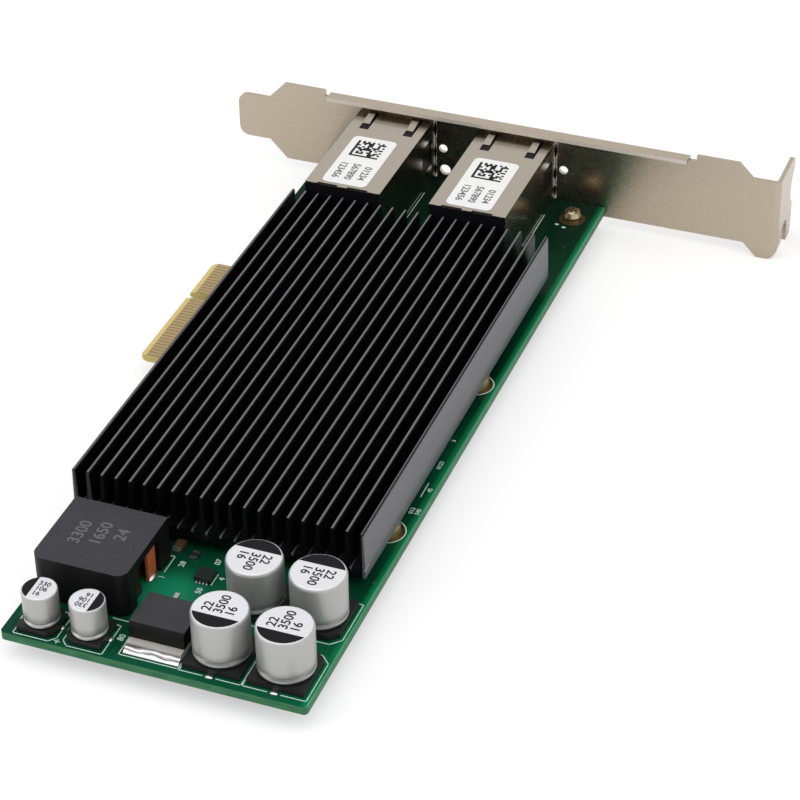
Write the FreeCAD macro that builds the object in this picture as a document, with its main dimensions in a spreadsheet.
import FreeCAD, Part
import math
import os
from collections import namedtuple

import Sketcher

# A two-port network card for a server slot, lying on its solder side.
# The drawing's own zero is the slot edge of the board (x), the inner face of
# the bracket (y) and the component face of the board (z).  x runs across the
# card towards the bracket's screw tab, y towards the bracket, z upwards.
# Each body is then shifted so that the row's zero is under the middle of the
# card's box, at its lowest point.

doc = FreeCAD.newDocument("network_card")
sheet = doc.addObject("Spreadsheet::Sheet", "sizes")
nodes = []
Circle = namedtuple("Circle", "x y radius")


class Size:
    # A length: its value now, and the formula that keeps it tied to the sheet.
    def __init__(self, value, formula):
        self.value = value
        self.formula = formula

    def __add__(self, other):
        return joined(self, "+", other)

    def __radd__(self, other):
        return joined(other, "+", self)

    def __sub__(self, other):
        return joined(self, "-", other)

    def __rsub__(self, other):
        return joined(other, "-", self)

    def __mul__(self, other):
        return joined(self, "*", other)

    def __rmul__(self, other):
        return joined(other, "*", self)

    def __truediv__(self, other):
        return joined(self, "/", other)

    def __neg__(self):
        return joined(0, "-", self)


def value_of(length):
    return length.value if isinstance(length, Size) else float(length)


def formula_of(length):
    return length.formula if isinstance(length, Size) else repr(float(length))


def joined(left, sign, right):
    a, b = value_of(left), value_of(right)
    value = {"+": a + b, "-": a - b, "*": a * b}[sign] if sign != "/" else a / b
    return Size(value, "(%s %s %s)" % (formula_of(left), sign, formula_of(right)))


def size(name, value):
    row = len(sheet.getUsedCells()) + 1
    sheet.set("A%d" % row, str(value))
    sheet.setAlias("A%d" % row, name)
    return Size(float(value), "sizes." + name)


def bind(thing, prop, length):
    if isinstance(length, Size):
        thing.setExpression(prop, length.formula)
    else:
        setattr(thing, prop, length)


# ---------------------------------------------------------------- the sizes

board_width = size("board_width", 60.65)
board_length = size("board_length", 164.0)
board_thick = size("board_thick", 1.6)
board_gap = size("board_gap", 0.3)             # board to bracket
heel_drop = size("heel_drop", 2.7)             # board edge by the bracket, past the slot edge
heel_length = size("heel_length", 36.0)
toe_step = size("toe_step", 4.65)              # board edge at the free end, inside the slot edge
toe_length = size("toe_length", 38.0)
board_corner = size("board_corner", 0.8)

edge_reach = size("edge_reach", 8.25)          # how far the contact tongue stands out
key_distance = size("key_distance", 59.5)      # bracket to the middle of the key notch
key_width = size("key_width", 1.9)
key_depth = size("key_depth", 7.4)
contact_pitch = size("contact_pitch", 1.0)
contact_width = size("contact_width", 0.7)
contact_length = size("contact_length", 5.6)
contact_thick = size("contact_thick", 0.05)
contact_end = size("contact_end", 0.25)        # last contact to the end of its tongue
bevel_depth = size("bevel_depth", 1.3)
bevel_height = size("bevel_height", 0.45)
far_contacts = 11
near_contacts = 21

sheet_thick = size("sheet_thick", 0.86)
bracket_length = size("bracket_length", 120.02)
bracket_width = size("bracket_width", 18.42)
bracket_start = size("bracket_start", -22.7)   # tongue end, from the slot edge
tongue_width = size("tongue_width", 10.19)
tongue_length = size("tongue_length", 7.1)
tongue_corner = size("tongue_corner", 2.2)
taper_length = size("taper_length", 3.9)
step_drop = size("step_drop", 3.05)            # offset of the tab end towards the solder side
step_top = size("step_top", 8.9)               # from the tab end
step_bottom = size("step_bottom", 7.1)
step_run = size("step_run", 3.0)
bend_outside = size("bend_outside", 1.3)
flange_start = size("flange_start", 21.8)      # from the tongue end
flange_end = size("flange_end", 19.2)          # from the tab end
flange_depth = size("flange_depth", 2.6)       # inside the inner face
relief = size("relief", 1.4)
tab_depth = size("tab_depth", 12.29)
tab_corner = size("tab_corner", 1.5)
blade_corner = size("blade_corner", 2.4)
notch_width = size("notch_width", 4.42)
notch_place = size("notch_place", 6.35)        # from the inner face
notch_height = size("notch_height", 5.9)
scoop_radius = size("scoop_radius", 4.6)
scoop_depth = size("scoop_depth", 2.2)
scoop_height = size("scoop_height", 11.2)      # above the tab's lower end
lug_width = size("lug_width", 8.0)
lug_depth = size("lug_depth", 9.6)

port_width = size("port_width", 16.17)
port_height = size("port_height", 13.9)
port_start = size("port_start", 6.45)
port_pitch = size("port_pitch", 26.75)
port_back = size("port_back", 32.4)            # behind the bracket's inner face
port_front = size("port_front", 1.1)           # in front of it
port_clearance = size("port_clearance", 0.35)
shield_thick = size("shield_thick", 0.25)
mouth_width = size("mouth_width", 11.9)
mouth_height = size("mouth_height", 6.9)
mouth_depth = size("mouth_depth", 15.0)
mouth_bottom = size("mouth_bottom", 4.6)
latch_width = size("latch_width", 6.3)
latch_drop = size("latch_drop", 2.9)
wire_pitch = size("wire_pitch", 1.02)
wire_size = size("wire_size", 0.35)
wires = 8
spring_width = size("spring_width", 1.5)
spring_length = size("spring_length", 6.6)
spring_place = size("spring_place", 3.2)       # middle of a spring from the port's side
spring_lift = size("spring_lift", 0.6)
leg_width = size("leg_width", 1.2)
leg_hole = size("leg_hole", 1.7)
led_radius = size("led_radius", 0.95)
led_low_radius = size("led_low_radius", 1.2)
led_side = size("led_side", 1.85)              # port side to the middle of the light hole
led_height = size("led_height", 7.0)
led_low_side = size("led_low_side", 2.3)
led_low_height = size("led_low_height", 1.9)
label_width = size("label_width", 9.6)
label_length = size("label_length", 19.0)
label_thick = size("label_thick", 0.1)
label_corner = size("label_corner", 1.2)
label_inset = size("label_inset", 2.95)        # port side to label
label_back = size("label_back", 1.2)           # port back to label

sink_start = size("sink_start", 3.5)
sink_inset = size("sink_inset", 1.95)          # inside the board's plain side
sink_length = size("sink_length", 99.8)
sink_gap = size("sink_gap", 0.5)               # behind the ports
sink_lift = size("sink_lift", 2.17)            # under the base
sink_height = size("sink_height", 9.6)
sink_base = size("sink_base", 2.0)
fin_root = size("fin_root", 1.0)
fin_tip = size("fin_tip", 0.6)
fins = 21
fixing_inset = size("fixing_inset", 2.3)       # sink side to screw
fixing_far = size("fixing_far", 69.5)          # bracket to screw
fixing_near = size("fixing_near", 116.65)
screw_radius = size("screw_radius", 1.25)
screw_hole = size("screw_hole", 1.45)          # radius in the board
screw_head = size("screw_head", 2.3)
screw_head_height = size("screw_head_height", 1.7)
tap_clearance = size("tap_clearance", 0.05)
cross_width = size("cross_width", 0.6)
cross_depth = size("cross_depth", 0.8)
pad_radius = size("pad_radius", 3.2)
foot_pad = size("foot_pad", 2.7)
foot_head = size("foot_head", 1.95)
foot_head_height = size("foot_head_height", 2.2)
pad_thick = size("pad_thick", 0.05)
spacer_radius = size("spacer_radius", 2.5)
foot_screw_right = size("foot_screw_right", 5.15)  # inside the board's plain side
foot_screw_left = size("foot_screw_left", 1.6)
foot_screw_back = size("foot_screw_back", 6.9)

chip_side = size("chip_side", 17.0)
chip_thick = size("chip_thick", 1.1)
chip_far = size("chip_far", 62.0)              # bracket to the middle of the network chip
power_side = size("power_side", 12.0)
power_far = size("power_far", 100.0)

coil_start = size("coil_start", 6.1)
coil_far = size("coil_far", 136.4)             # bracket to the inductor's far side
coil_width = size("coil_width", 17.6)
coil_length = size("coil_length", 17.4)
coil_height = size("coil_height", 9.0)
coil_top = size("coil_top", 1.7)
coil_floor = size("coil_floor", 1.0)
coil_corner = size("coil_corner", 2.0)
coil_mouth = size("coil_mouth", 9.6)
well_radius = size("well_radius", 7.0)
post_radius = size("post_radius", 3.4)
winding_gap = size("winding_gap", 0.3)
winding_lead = size("winding_lead", 3.0)
winding_sheet = size("winding_sheet", 0.5)

bulk_radius = size("bulk_radius", 5.0)
bulk_base = size("bulk_base", 10.3)
bulk_height = size("bulk_height", 10.2)
bulk_inset = size("bulk_inset", 6.4)           # board's plain side to the outer cans
bulk_pitch_x = size("bulk_pitch_x", 11.6)
bulk_far = size("bulk_far", 142.5)
bulk_pitch_y = size("bulk_pitch_y", 14.3)
small_radius = size("small_radius", 3.15)
small_base = size("small_base", 6.6)
small_height = size("small_height", 7.7)
small_left = size("small_left", 10.7)
small_pitch = size("small_pitch", 8.9)
small_far = size("small_far", 159.6)
base_thick = size("base_thick", 1.25)
base_chamfer = size("base_chamfer", 0.16)      # of the base's side
lead_width = size("lead_width", 0.9)
lead_thick = size("lead_thick", 0.2)
lead_reach = size("lead_reach", 1.1)

diode_middle = size("diode_middle", 31.65)
diode_width = size("diode_width", 10.1)
diode_near = size("diode_near", 159.0)         # bracket to the body's near side
diode_length = size("diode_length", 8.7)
diode_height = size("diode_height", 4.5)
diode_tab = size("diode_tab", 1.27)
diode_tab_reach = size("diode_tab_reach", 1.4)
diode_lead_pitch = size("diode_lead_pitch", 5.08)
diode_lead_reach = size("diode_lead_reach", 5.2)
diode_lead_width = size("diode_lead_width", 0.8)
diode_lead_thick = size("diode_lead_thick", 0.5)
solder_reach = size("solder_reach", 1.4)

driver_middle = size("driver_middle", 31.6)
driver_far = size("driver_far", 139.3)
driver_side = size("driver_side", 3.0)
driver_height = size("driver_height", 0.95)
driver_lead_pitch = size("driver_lead_pitch", 0.65)
driver_leads = 4

ceramic_length = size("ceramic_length", 3.2)
ceramic_width = size("ceramic_width", 1.6)
ceramic_height = size("ceramic_height", 1.2)
resistor_length = size("resistor_length", 2.0)
resistor_width = size("resistor_width", 1.4)
resistor_height = size("resistor_height", 0.55)
cap_end = size("cap_end", 0.45)                # metal end of a chip part

# ------------------------------------------------------- places worked out

board_bottom = -board_thick
blade_low = board_bottom - sheet_thick
blade_high = blade_low + bracket_width
blade_middle = blade_low + bracket_width / 2
bracket_end = bracket_start + bracket_length
tab_low = blade_low - step_drop
tab_high = blade_high - step_drop
sink_top = sink_lift + sink_height
sink_end = board_width - sink_inset
sink_width = sink_end - sink_start
sink_far = -port_back - sink_gap
sink_near = sink_far - sink_length
fixing_left = sink_start + fixing_inset
fixing_right = sink_end - fixing_inset
fixings = [(x, -y) for x in (fixing_left, fixing_right) for y in (fixing_far, fixing_near)]
foot_screws = [(x, -foot_screw_back)
               for x in (foot_screw_left, board_width - foot_screw_right)]
port_starts = {"left_port": port_start, "right_port": port_start + port_pitch}
frame = (
    -(bracket_start + bracket_end) / 2,
    (board_length - tab_depth) / 2,
    -tab_low,
)


# ------------------------------------------------------------ construction

def body(label):
    made = doc.addObject("PartDesign::Body", label)
    made.Label = label
    for axis, shift in zip("xyz", frame):
        made.setExpression("Placement.Base." + axis, shift.formula)
    nodes.append(made)
    return made


def group(label, bodies):
    # Several equal bodies that make one node, as separate solids.
    made = doc.addObject("Part::Compound", label)
    made.Label = label
    made.Links = bodies
    nodes.append(made)
    return made


def origin_part(owner, role):
    return next(f for f in owner.Origin.OriginFeatures if f.Role == role)


def hold(sketch, kind, line, point, length):
    index = sketch.addConstraint(
        Sketcher.Constraint(kind, -1, 1, line, point, value_of(length)))
    if isinstance(length, Size):
        sketch.setExpression("Constraints[%d]" % index, length.formula)


def draw(sketch, loop):
    if isinstance(loop, Circle):
        centre = FreeCAD.Vector(value_of(loop.x), value_of(loop.y), 0)
        up = FreeCAD.Vector(0, 0, 1)
        ring = sketch.addGeometry(Part.Circle(centre, up, value_of(loop.radius)), False)
        hold(sketch, "DistanceX", ring, 3, loop.x)
        hold(sketch, "DistanceY", ring, 3, loop.y)
        index = sketch.addConstraint(Sketcher.Constraint("Radius", ring, value_of(loop.radius)))
        sketch.setExpression("Constraints[%d]" % index, formula_of(loop.radius))
        return
    points = [FreeCAD.Vector(value_of(x), value_of(y), 0) for x, y in loop]
    lines = [sketch.addGeometry(Part.LineSegment(a, b), False)
             for a, b in zip(points, points[1:] + points[:1])]
    for line, after in zip(lines, lines[1:] + lines[:1]):
        sketch.addConstraint(Sketcher.Constraint("Coincident", line, 2, after, 1))
    for line, (x, y) in zip(lines, loop):
        hold(sketch, "DistanceX", line, 1, x)
        hold(sketch, "DistanceY", line, 1, y)


def sketched(owner, name, plane, loops, height):
    sketch = owner.newObject("Sketcher::SketchObject", owner.Label + "_" + name)
    sketch.AttachmentSupport = [(origin_part(owner, plane + "_Plane"), "")]
    sketch.MapMode = "FlatFace"
    sketch.setExpression("AttachmentOffset.Base.z", formula_of(height))
    for loop in loops:
        draw(sketch, loop)
    return sketch


# A sketch on the XZ plane looks along -y, so its heights change sign.
def add(owner, name, plane, loops, low, high):
    start = -high if plane == "XZ" else low
    pad = owner.newObject("PartDesign::Pad", owner.Label + "_" + name + "_pad")
    pad.Profile = sketched(owner, name, plane, loops, start)
    pad.setExpression("Length", formula_of(high - low))
    doc.recompute()
    return pad


def cut(owner, name, plane, loops, low, high):
    start = -low if plane == "XZ" else high
    pocket = owner.newObject("PartDesign::Pocket", owner.Label + "_" + name + "_pocket")
    pocket.Profile = sketched(owner, name, plane, loops, start)
    pocket.Type = "Length"
    pocket.setExpression("Length", formula_of(high - low))
    before = owner.Shape.Volume
    doc.recompute()
    if owner.Shape.Volume > before - 1e-6:
        raise RuntimeError("%s: %s cuts nothing" % (owner.Label, name))
    return pocket


def repeat(owner, features, axis, step, count):
    pattern = owner.newObject("PartDesign::LinearPattern", owner.Label + "_row")
    pattern.Originals = features
    pattern.Direction = (origin_part(owner, axis + "_Axis"), [""])
    pattern.setExpression("Length", formula_of(step * (count - 1)))
    pattern.Occurrences = count
    owner.Tip = pattern
    doc.recompute()
    return pattern


def turned(owner, name, loop):
    # A profile in the XZ plane, given as radius and height, turned about z.
    sketch = sketched(owner, name, "XZ", [loop], 0)
    turn = owner.newObject("PartDesign::Revolution", owner.Label + "_" + name + "_turn")
    turn.Profile = sketch
    turn.ReferenceAxis = (sketch, ["V_Axis"])
    turn.Angle = 360
    doc.recompute()
    return turn


def edges(feature, keep):
    chosen = []
    for number, edge in enumerate(feature.Shape.Edges, 1):
        if keep(edge.BoundBox):
            chosen.append("Edge%d" % number)
    if not chosen:
        raise RuntimeError("%s: no edge to treat" % feature.Label)
    return chosen


def upright(points, reach=0.01):
    # Picks the edges along z that stand at the given places.
    spots = [(value_of(x), value_of(y)) for x, y in points]

    def keep(box):
        if box.XLength > reach or box.YLength > reach or box.ZLength < reach:
            return False
        return any(abs(box.XMin - x) < reach and abs(box.YMin - y) < reach for x, y in spots)

    return keep


def through_y(points, reach=0.01):
    # Picks the edges along y that stand at the given (x, z) places.
    spots = [(value_of(x), value_of(z)) for x, z in points]

    def keep(box):
        if box.XLength > reach or box.ZLength > reach or box.YLength < reach:
            return False
        return any(abs(box.XMin - x) < reach and abs(box.ZMin - z) < reach for x, z in spots)

    return keep


def through_x(points, reach=0.01):
    # Picks the edges along x that stand at the given (y, z) places.
    spots = [(value_of(y), value_of(z)) for y, z in points]

    def keep(box):
        if box.YLength > reach or box.ZLength > reach or box.XLength < reach:
            return False
        return any(abs(box.YMin - y) < reach and abs(box.ZMin - z) < reach for y, z in spots)

    return keep


def rounded(owner, name, keep, radius):
    fillet = owner.newObject("PartDesign::Fillet", owner.Label + "_" + name)
    fillet.Base = (owner_tip(owner), edges(owner_tip(owner), keep))
    fillet.setExpression("Radius", formula_of(radius))
    doc.recompute()
    return fillet


def owner_tip(owner):
    solids = [f for f in owner.Group if f.isDerivedFrom("PartDesign::Feature")
              and f.Shape.Solids]
    return solids[-1]


def rectangle(x0, x1, y0, y1):
    return [(x0, y0), (x1, y0), (x1, y1), (x0, y1)]


def centred(x, y, width, length):
    return rectangle(x - width / 2, x + width / 2, y - length / 2, y + length / 2)


# ----------------------------------------------------------------- the board

def leg_places():
    places = []
    for start in port_starts.values():
        for side in (start + shield_thick / 2, start + port_width - shield_thick / 2):
            for along in (-port_back * 0.3, -port_back * 0.8):
                places.append((side, along))
    return places


def make_board():
    board = body("circuit_board")
    far_segment = contact_pitch * (far_contacts - 1) + contact_width + contact_end * 2
    near_segment = contact_pitch * (near_contacts - 1) + contact_width + contact_end * 2
    tongue_far = -key_distance + key_width / 2 + far_segment
    tongue_near = -key_distance - key_width / 2 - near_segment
    key_top = -key_distance + key_width / 2
    key_bottom = -key_distance - key_width / 2
    outline = [
        (board_width, -board_length),
        (board_width, -board_gap),
        (-heel_drop, -board_gap),
        (-heel_drop, -heel_length),
        (0, -heel_length),
        (0, tongue_far),
        (-edge_reach, tongue_far),
        (-edge_reach, key_top),
        (key_depth - edge_reach, key_top),
        (key_depth - edge_reach, key_bottom),
        (-edge_reach, key_bottom),
        (-edge_reach, tongue_near),
        (0, tongue_near),
        (0, toe_length - board_length + toe_step),
        (toe_step, toe_length - board_length),
        (toe_step, -board_length),
    ]
    add(board, "outline", "XY", [outline], board_bottom, 0)
    corners = [outline[0], outline[15], outline[3], outline[6], outline[11]]
    rounded(board, "corners", upright(corners), board_corner)
    rounded(board, "key_end", upright([outline[8], outline[9]]), key_width * 0.45)
    for name, face, slope in (("upper", 0, -1), ("lower", board_bottom, 1)):
        wedge = [
            (-edge_reach, face),
            (bevel_depth - edge_reach, face),
            (-edge_reach, face + bevel_height * slope),
        ]
        cut(board, name + "_bevel", "XZ", [wedge], tongue_near, tongue_far)
    holes = [Circle(x, y, screw_hole) for x, y in fixings + foot_screws]
    holes += [Circle(x, y, leg_hole / 2) for x, y in leg_places()]
    cut(board, "holes", "XY", holes, board_bottom, 0)


def make_contacts():
    contacts = body("edge_contacts")
    outer = bevel_depth - edge_reach
    for side, low in (("upper", 0), ("lower", board_bottom - contact_thick)):
        key_top = -key_distance + key_width / 2
        key_bottom = -key_distance - key_width / 2
        strips = [
            (key_top, contact_end, far_contacts, "far"),
            (key_bottom, -contact_end - contact_width, near_contacts, "near"),
        ]
        for start, inset, count, name in strips:
            low_y = start + inset
            first = rectangle(outer, outer + contact_length, low_y, low_y + contact_width)
            strip = add(contacts, side + "_" + name, "XY", [first], low, low + contact_thick)
            row = repeat(contacts, [strip], "Y", contact_pitch, count)
            row.Reversed = name == "near"
            doc.recompute()


def make_pads():
    pads = body("screw_pads")
    rings = []
    for places, radius in ((fixings, pad_radius), (foot_screws, foot_pad)):
        for x, y in places:
            rings += [Circle(x, y, radius), Circle(x, y, screw_hole)]
    add(pads, "rings", "XY", rings, 0, pad_thick)


# --------------------------------------------------------------- the bracket

def make_bracket():
    bracket = body("bracket")
    tongue_low = blade_middle - tongue_width / 2
    tongue_high = blade_middle + tongue_width / 2
    taper_start = bracket_start + tongue_length
    taper_end = taper_start + taper_length
    flange_left = bracket_start + flange_start
    flange_right = bracket_end - flange_end
    relief_left = flange_left - relief
    relief_right = flange_right + relief
    flange_root = blade_high - bend_outside
    blade_end = bracket_end - bend_outside
    outline = [
        (bracket_start, tongue_low),
        (taper_start, tongue_low),
        (taper_end, blade_low),
        (bracket_end - step_bottom, blade_low),
        (bracket_end - step_bottom + step_run, tab_low),
        (blade_end, tab_low),
        (blade_end, tab_high),
        (bracket_end - step_top + step_run, tab_high),
        (bracket_end - step_top, blade_high),
        (relief_right, blade_high),
        (relief_right, flange_root),
        (relief_left, flange_root),
        (relief_left, blade_high),
        (taper_end, blade_high),
        (taper_start, tongue_high),
        (bracket_start, tongue_high),
    ]
    add(bracket, "blade", "XZ", [outline], 0, sheet_thick)
    rounded(bracket, "tongue_end", through_y([outline[0], outline[15]]), tongue_corner)

    # The flange: a strip folded inwards along the upper edge.
    inner = bend_outside - sheet_thick
    flange = [
        (sheet_thick, flange_root),
        (sheet_thick, blade_high),
        (-flange_depth, blade_high),
        (-flange_depth, blade_high - sheet_thick),
        (0, blade_high - sheet_thick),
        (0, flange_root),
    ]
    add(bracket, "flange", "YZ", [flange], flange_left, flange_right)

    # The screw tab: folded outwards at the stepped end.
    bend = [
        (blade_end, 0),
        (bracket_end, 0),
        (bracket_end, tab_depth),
        (bracket_end - sheet_thick, tab_depth),
        (bracket_end - sheet_thick, sheet_thick),
        (blade_end, sheet_thick),
    ]
    add(bracket, "tab", "XY", [bend], tab_low, tab_high)
    tab_ends = through_x([(tab_depth, tab_high), (tab_depth, tab_low)])
    rounded(bracket, "tab_ends", tab_ends, tab_corner)
    rounded(bracket, "tab_fold", upright([(bracket_end, 0)]), bend_outside)
    rounded(bracket, "tab_fold_inside",
            upright([(bracket_end - sheet_thick, sheet_thick)]), inner)

    def flange_fold(box):
        along = box.XLength > value_of(flange_right - flange_left) - 0.5
        return along and abs(box.YMax - value_of(sheet_thick)) < 0.01 \
            and abs(box.ZMax - value_of(blade_high)) < 0.01

    rounded(bracket, "flange_fold", flange_fold, bend_outside * 0.95)

    notch = rectangle(notch_place - notch_width / 2, notch_place + notch_width / 2,
                      tab_low, tab_low + notch_height - notch_width / 2)
    tab_face = bracket_end - sheet_thick * 2
    cut(bracket, "notch", "YZ", [notch], tab_face, bracket_end)
    notch_end = Circle(notch_place, tab_low + notch_height - notch_width / 2, notch_width / 2)
    cut(bracket, "notch_end", "YZ", [notch_end], tab_face, bracket_end)
    scoop = Circle(tab_depth + scoop_radius - scoop_depth, tab_low + scoop_height, scoop_radius)
    cut(bracket, "scoop", "YZ", [scoop], tab_face, bracket_end)

    # What is cut off where the blade's lower corner is rounded.
    corner = [(bracket_end, tab_low)]
    for step in range(7):
        angle = math.pi / 12 * step
        corner.append((bracket_end - blade_corner * (1 - math.cos(angle)),
                       tab_low + blade_corner * (1 - math.sin(angle))))
    cut(bracket, "corner", "XZ", [corner], 0, notch_place - notch_width / 2)

    windows = []
    lights = []
    for start in port_starts.values():
        windows.append(rectangle(start - port_clearance, start + port_width + port_clearance,
                                 -port_clearance, port_height + port_clearance))
        lights.append(Circle(start + port_width + led_side, led_height, led_radius))
    low_x = port_start + port_width + led_low_side
    lights.append(Circle(low_x, led_low_height, led_low_radius))
    cut(bracket, "windows", "XZ", windows, 0, sheet_thick)
    cut(bracket, "lights", "XZ", lights, 0, sheet_thick)

    # Two lugs folded in under the board, each tapped for a screw.
    for name, (x, y) in zip(("left_lug", "right_lug"), foot_screws):
        lug = centred(x, (sheet_thick - lug_depth) / 2, lug_width, lug_depth + sheet_thick)
        add(bracket, name, "XY", [lug], blade_low, board_bottom)
        cut(bracket, name + "_tap", "XY", [Circle(x, y, screw_radius + tap_clearance)],
            blade_low, board_bottom)


def pan_screw(kind, number, x, y, seat, tip, up, head, tall):
    # A cross-slotted round-headed screw; up is 1 with its head above the seat.
    name = "%s_%d" % (kind, number)
    screw = body(name)
    nodes.remove(screw)
    screw.setExpression("Placement.Base.x", (frame[0] + x).formula)
    screw.setExpression("Placement.Base.y", (frame[1] + y).formula)
    head_end = seat + tall * up
    profile = [
        (0, tip), (screw_radius, tip), (screw_radius, seat), (head, seat),
        (head, seat + tall * 0.45 * up),
        (head * 0.8, seat + tall * 0.88 * up),
        (head * 0.45, head_end), (0, head_end),
    ]
    turned(screw, "shape", profile)
    low, high = sorted((head_end, head_end - cross_depth * up), key=value_of)
    cut(screw, "cross_a", "XY", [centred(0, 0, head * 1.1, cross_width)], low, high)
    cut(screw, "cross_b", "XY", [centred(0, 0, cross_width, head * 1.1)], low, high)
    return screw


def make_screws():
    group("bracket_screws", [pan_screw("bracket_screw", number, x, y, pad_thick, blade_low, 1,
                                       foot_head, foot_head_height)
                             for number, (x, y) in enumerate(foot_screws)])
    tip = sink_lift + sink_base * 0.7
    group("heatsink_screws", [pan_screw("heatsink_screw", number, x, y, board_bottom, tip, -1,
                                        screw_head, screw_head_height)
                              for number, (x, y) in enumerate(fixings)])
    spacers = body("heatsink_spacers")
    rings = []
    for x, y in fixings:
        rings += [Circle(x, y, spacer_radius), Circle(x, y, screw_hole)]
    add(spacers, "rings", "XY", rings, pad_thick, sink_lift)


# ----------------------------------------------------------------- the ports

def make_port(side, start):
    end = start + port_width
    middle = start + port_width / 2
    inside = (start + shield_thick, end - shield_thick)
    top = port_height - shield_thick

    # The shield: one folded can, open below, in front and behind.
    shield = body(side + "_shield")
    skin = [
        (start, 0), (inside[0], 0), (inside[0], top), (inside[1], top),
        (inside[1], 0), (end, 0), (end, port_height), (start, port_height),
    ]
    add(shield, "can", "XZ", [skin], -port_back, port_front)
    for number, (x, y) in enumerate(leg_places()):
        if value_of(start) <= value_of(x) <= value_of(end):
            leg = centred(x, y, shield_thick, leg_width)
            add(shield, "leg%d" % number, "XY", [leg], board_bottom - shield_thick * 2, 0)
    gap = spring_width * 0.35
    springs = {"a": start + spring_place, "b": end - spring_place}
    for name, x in springs.items():
        slot = rectangle(x - spring_width / 2, x + spring_width / 2 + gap,
                         -spring_length - gap * 4.5, -gap * 3)
        cut(shield, "spring_slot_" + name, "XY", [slot], top, port_height)
        tongue = [
            (-gap * 3, top),
            (-gap * 3, port_height),
            (-spring_length * 0.35, port_height + spring_lift),
            (-spring_length, port_height),
            (-spring_length, top),
            (-spring_length * 0.35, top + spring_lift),
        ]
        add(shield, "spring_" + name, "YZ", [tongue], x - spring_width / 2,
            x + spring_width / 2)
    rear = shield_thick * 2
    for name, offset in (("a", 0.16), ("b", 0.56)):
        low = start + port_width * offset
        scallop = rectangle(low, low + port_width * 0.27, -port_back, -port_back + rear)
        cut(shield, "rear_scallop_" + name, "XY", [scallop], top, port_height)
    slit = rectangle(-port_back * 0.36, -port_back * 0.05, top - rear * 1.6, top - rear * 0.4)
    cut(shield, "side_slit", "YZ", [slit], start, end)
    window = rectangle(-port_back * 0.24, -port_back * 0.07, port_height * 0.3,
                       port_height * 0.74)
    cut(shield, "side_window", "YZ", [window], start, end)

    # The moulded insert with the plug's hollow and the latch's groove.
    insert = body(side + "_insert")
    block = rectangle(inside[0], inside[1], 0, top)
    add(insert, "block", "XZ", [block], -port_back, port_front - shield_thick)
    hollow = rectangle(middle - mouth_width / 2, middle + mouth_width / 2,
                       mouth_bottom, mouth_bottom + mouth_height)
    groove = rectangle(middle - latch_width / 2, middle + latch_width / 2,
                       mouth_bottom - latch_drop, mouth_bottom + mouth_height / 2)
    front = port_front - shield_thick
    cut(insert, "hollow", "XZ", [hollow], front - mouth_depth, front)
    cut(insert, "groove", "XZ", [groove], front - mouth_depth, front)

    # Eight wires that slope down from the roof of the hollow.
    contacts = body(side + "_contacts")
    roof = mouth_bottom + mouth_height
    rest = front - mouth_depth
    wire = [
        (rest, roof - wire_size),
        (rest, roof),
        (rest + mouth_depth * 0.75, roof),
        (rest + mouth_depth * 0.25, roof - mouth_height * 0.36),
        (rest + mouth_depth * 0.21, roof - mouth_height * 0.36 + wire_size),
        (rest + mouth_depth * 0.66, roof - wire_size),
    ]
    first = middle - wire_pitch * (wires - 1) / 2 - wire_size / 2
    strip = add(contacts, "wire", "YZ", [wire], first, first + wire_size)
    repeat(contacts, [strip], "X", wire_pitch, wires)

    label = body(side + "_label")
    low = -port_back + label_back
    sticker = rectangle(start + label_inset, start + label_inset + label_width,
                        low, low + label_length)
    add(label, "sticker", "XY", [sticker], port_height, port_height + label_thick)
    rounded(label, "corners", upright(sticker), label_corner)


def make_solder():
    # Soldered pin ends of the ports, on the solder side.
    joints = body("port_solder_joints")
    radius = wire_size * 1.8
    for side, start in port_starts.items():
        rings = []
        middle = start + port_width / 2
        for number in range(wires):
            x = middle + wire_pitch * 1.25 * (number - (wires - 1) / 2)
            y = -port_back * 0.62 - wire_pitch * 2.5 * (number % 2)
            rings.append(Circle(x, y, radius))
        add(joints, side, "XY", rings, board_bottom - wire_size * 1.6, board_bottom)


# -------------------------------------------------------------- the heatsink

def make_heatsink():
    sink = body("heatsink")
    plate = rectangle(sink_start, sink_end, sink_near, sink_far)
    base_top = sink_lift + sink_base
    add(sink, "base", "XY", [plate], sink_lift, base_top)
    step = (sink_width - fin_root) / (fins - 1)
    middle = sink_start + fin_root / 2
    shoulder = sink_top - fin_tip * 0.3
    crown = fin_tip * 0.25
    fin = [
        (middle - fin_root / 2, base_top - fin_root / 2),
        (middle + fin_root / 2, base_top - fin_root / 2),
        (middle + fin_root / 2, base_top),
        (middle + fin_tip / 2, shoulder),
        (middle + crown, sink_top),
        (middle - crown, sink_top),
        (middle - fin_tip / 2, shoulder),
        (middle - fin_root / 2, base_top),
    ]
    blade = add(sink, "fin", "XZ", [fin], sink_near, sink_far)
    repeat(sink, [blade], "X", step, fins)
    taps = [Circle(x, y, screw_radius + tap_clearance) for x, y in fixings]
    cut(sink, "taps", "XY", taps, sink_lift, sink_lift + sink_base * 0.8)


def make_chips():
    middle = sink_start + sink_width / 2
    kinds = (("network_controller", chip_side, chip_far),
             ("power_controller", power_side, power_far))
    for name, side, far in kinds:
        square = centred(middle, -far, side, side)
        chip = body(name)
        add(chip, "package", "XY", [square], 0, chip_thick)
        pad = body(name + "_thermal_pad")
        add(pad, "sheet", "XY", [square], chip_thick, sink_lift)


# ------------------------------------------------------- the free-end parts

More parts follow.
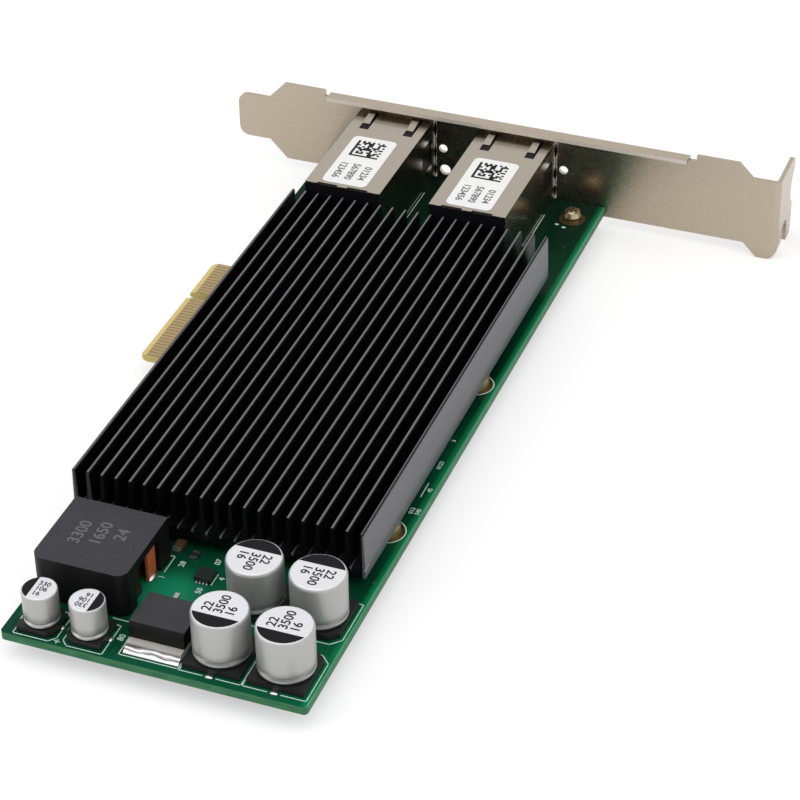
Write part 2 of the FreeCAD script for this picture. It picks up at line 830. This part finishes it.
def make_inductor():
    near, far = -coil_far - coil_length, -coil_far
    end = coil_start + coil_width
    x, y = coil_start + coil_width / 2, (near + far) / 2
    core = body("inductor_core")
    add(core, "block", "XY", [rectangle(coil_start, end, near, far)], 0, coil_height)
    rounded(core, "near_corners", upright([(coil_start, near), (end, near)]), coil_corner)
    ring = [Circle(x, y, well_radius), Circle(x, y, post_radius)]
    cut(core, "well", "XY", ring, coil_floor, coil_height - coil_top)
    mouth = rectangle(x + well_radius * 0.7, end, y - coil_mouth / 2, y + coil_mouth / 2)
    cut(core, "mouth", "XY", [mouth], 0, coil_height - coil_top)

    winding = body("inductor_winding")
    low, high = coil_floor + winding_gap, coil_height - coil_top - winding_gap
    outer, inner = well_radius - winding_gap, post_radius + winding_gap
    add(winding, "coil", "XY", [Circle(x, y, outer), Circle(x, y, inner)], low, high)
    face = end - winding_sheet * 2.5
    for name, place in (("near", y - coil_mouth * 0.3), ("far", y + coil_mouth * 0.3)):
        strip = rectangle(x + outer * 0.8, face + winding_sheet,
                          place - winding_lead / 2, place + winding_lead / 2)
        top = high if name == "far" else low + (high - low) * 0.12
        add(winding, name + "_run", "XY", [strip], top - winding_sheet * 2, top)
        drop = rectangle(face, face + winding_sheet, place - winding_lead / 2,
                         place + winding_lead / 2)
        add(winding, name + "_drop", "XY", [drop], 0, top)


def make_capacitor(name, x, y, radius, side, height, negative):
    # negative is the direction, -1 or 1, of the marked side; the base's corners
    # are cut on the other side.
    axis = "y" if name.startswith("bulk") else "x"
    half, nip = side / 2, side * base_chamfer
    plan = [(half * -1, half * -1), (half, half * -1), (half, half - nip), (half - nip, half),
            (nip - half, half), (half * -1, half - nip)]
    plan = [(u, v * -negative) for u, v in plan]
    if axis == "x":
        plan = [(v, u) for u, v in plan]
    base = body(name + "_base")
    add(base, "plate", "XY", [[(x + u, y + v) for u, v in plan]], lead_thick, base_thick)
    can = body(name + "_can")
    can.setExpression("Placement.Base.x", (frame[0] + x).formula)
    can.setExpression("Placement.Base.y", (frame[1] + y).formula)
    rim = radius * 0.09
    neck = radius * 0.93
    foot = base_thick
    fall = (height - foot) * 0.09
    profile = [
        (0, foot),
        (radius - rim, foot),
        (radius, foot + rim),
        (radius, foot + fall),
        (neck, foot + fall * 1.5),
        (radius, foot + fall * 2),
        (radius, height - rim * 1.2),
        (radius - rim * 0.3, height - rim * 0.4),
        (radius - rim * 0.7, height - rim * 0.1),
        (radius - rim * 1.2, height),
        (0, height),
    ]
    turned(can, "shell", profile)


def make_capacitors():
    bulk = [(board_width - bulk_inset - bulk_pitch_x * (1 - i), -bulk_far - bulk_pitch_y * j)
            for j in range(2) for i in range(2)]
    for number, (x, y) in enumerate(bulk, 1):
        marked = 1 if number <= 2 else -1
        make_capacitor("bulk_capacitor_%d" % number, x, y, bulk_radius, bulk_base,
                       bulk_height, marked)
    small = [(small_left + small_pitch * i, -small_far) for i in range(2)]
    for number, (x, y) in enumerate(small, 1):
        marked = -1 if number == 1 else 1
        make_capacitor("small_capacitor_%d" % number, x, y, small_radius, small_base,
                       small_height, marked)
    leads = body("capacitor_leads")
    strips = []
    for x, y in bulk:
        reach = bulk_base / 2 + lead_reach
        strips += [rectangle(x - lead_width / 2, x + lead_width / 2,
                             y + reach * s - lead_reach * 2.5 * (s > 0),
                             y + reach * s + lead_reach * 2.5 * (s < 0)) for s in (-1, 1)]
    for x, y in small:
        reach = small_base / 2 + lead_reach * 0.8
        strips += [rectangle(x + reach * s - lead_reach * 2 * (s > 0),
                             x + reach * s + lead_reach * 2 * (s < 0),
                             y - lead_width / 2, y + lead_width / 2) for s in (-1, 1)]
    add(leads, "strips", "XY", strips, 0, lead_thick)


def make_diode():
    left, right = diode_middle - diode_width / 2, diode_middle + diode_width / 2
    near, far = -diode_near, -diode_near + diode_length
    split = far - diode_length * 0.2
    top = body("diode_body")
    side = [
        (near, diode_tab), (split, diode_tab), (split, lead_thick), (far, lead_thick),
        (far, diode_height - diode_tab * 0.6), (far - diode_tab * 0.3, diode_height),
        (near + diode_tab * 0.3, diode_height), (near, diode_height - diode_tab * 0.6),
    ]
    add(top, "mould", "YZ", [side], left, right)
    tab = body("diode_tab")
    add(tab, "plate", "XY", [rectangle(left, right, near - diode_tab_reach, split)], 0, diode_tab)
    solder = body("diode_solder")
    fillet = [(near - diode_tab_reach - solder_reach, 0), (near - diode_tab_reach, 0),
              (near - diode_tab_reach, diode_tab * 0.7)]
    add(solder, "fillet", "YZ", [fillet], left, right)
    leads = body("diode_leads")
    knee = diode_height * 0.45
    reach, thick = diode_lead_reach, diode_lead_thick
    wing = [
        (far, knee), (far + reach * 0.34, knee), (far + reach * 0.56, thick),
        (far + reach, thick), (far + reach, 0), (far + reach * 0.5, 0),
        (far + reach * 0.28, knee - thick), (far, knee - thick),
    ]
    for name, offset in (("left", -diode_lead_pitch / 2), ("right", diode_lead_pitch / 2)):
        x = diode_middle + offset
        add(leads, name, "YZ", [wing], x - diode_lead_width / 2, x + diode_lead_width / 2)


def make_driver():
    chip = body("driver_chip")
    plan = centred(driver_middle, -driver_far, driver_side, driver_side)
    add(chip, "package", "XY", [plan], lead_thick / 2, driver_height)
    leads = body("driver_chip_leads")
    first = driver_middle - driver_lead_pitch * (driver_leads - 1) / 2
    width = driver_lead_pitch * 0.45
    for name, s in (("near", -1), ("far", 1)):
        root = -driver_far + driver_side / 2 * s
        knee = driver_height * 0.5
        wing = [
            (root, knee), (root + knee * 0.4 * s, knee), (root + knee * 0.6 * s, lead_thick),
            (root + knee * 1.2 * s, lead_thick), (root + knee * 1.2 * s, 0),
            (root + knee * 0.35 * s, 0), (root + knee * 0.15 * s, knee - lead_thick),
            (root, knee - lead_thick),
        ]
        lead = add(leads, name, "YZ", [wing], first - width / 2, first + width / 2)
        repeat(leads, [lead], "X", driver_lead_pitch, driver_leads)


def make_chip_part(name, x, y, length, width, height):
    # A small block with a metal cap at each end, along y.
    half = length / 2 - cap_end
    block = body(name)
    add(block, "block", "XY", [centred(x, y, width, half * 2)], 0, height)
    caps = [centred(x, y + (half + cap_end / 2) * s, width, cap_end) for s in (-1, 1)]
    ends = body(name + "_ends")
    add(ends, "caps", "XY", caps, 0, height)


def make_chip_parts():
    side = coil_start + coil_width
    make_chip_part("chip_capacitor", side + ceramic_width * 0.3, sink_near - ceramic_width * 0.45,
                   ceramic_length, ceramic_width, ceramic_height)
    make_chip_part("chip_resistor", side + ceramic_width * 2.4, sink_near - resistor_length,
                   resistor_length, resistor_width, resistor_height)


make_board()
make_contacts()
make_pads()
make_bracket()
make_screws()
for port_side, port_place in port_starts.items():
    make_port(port_side, port_place)
make_solder()
make_heatsink()
make_chips()
make_inductor()
make_capacitors()
make_diode()
make_driver()
make_chip_parts()

doc.recompute()
for thing in doc.Objects:
    if "Invalid" in thing.State or "Error" in thing.State:
        raise RuntimeError("%s did not build" % thing.Label)
for node in nodes:
    if node.Shape.isNull() or not node.Shape.isValid() or not node.Shape.Solids:
        raise RuntimeError("%s has no valid solid" % node.Label)
os.makedirs("parts", exist_ok=True)
for node in nodes:
    node.Shape.exportStep("parts/%s.step" % node.Label)
    print(node.Label, len(node.Shape.Solids), "solids")
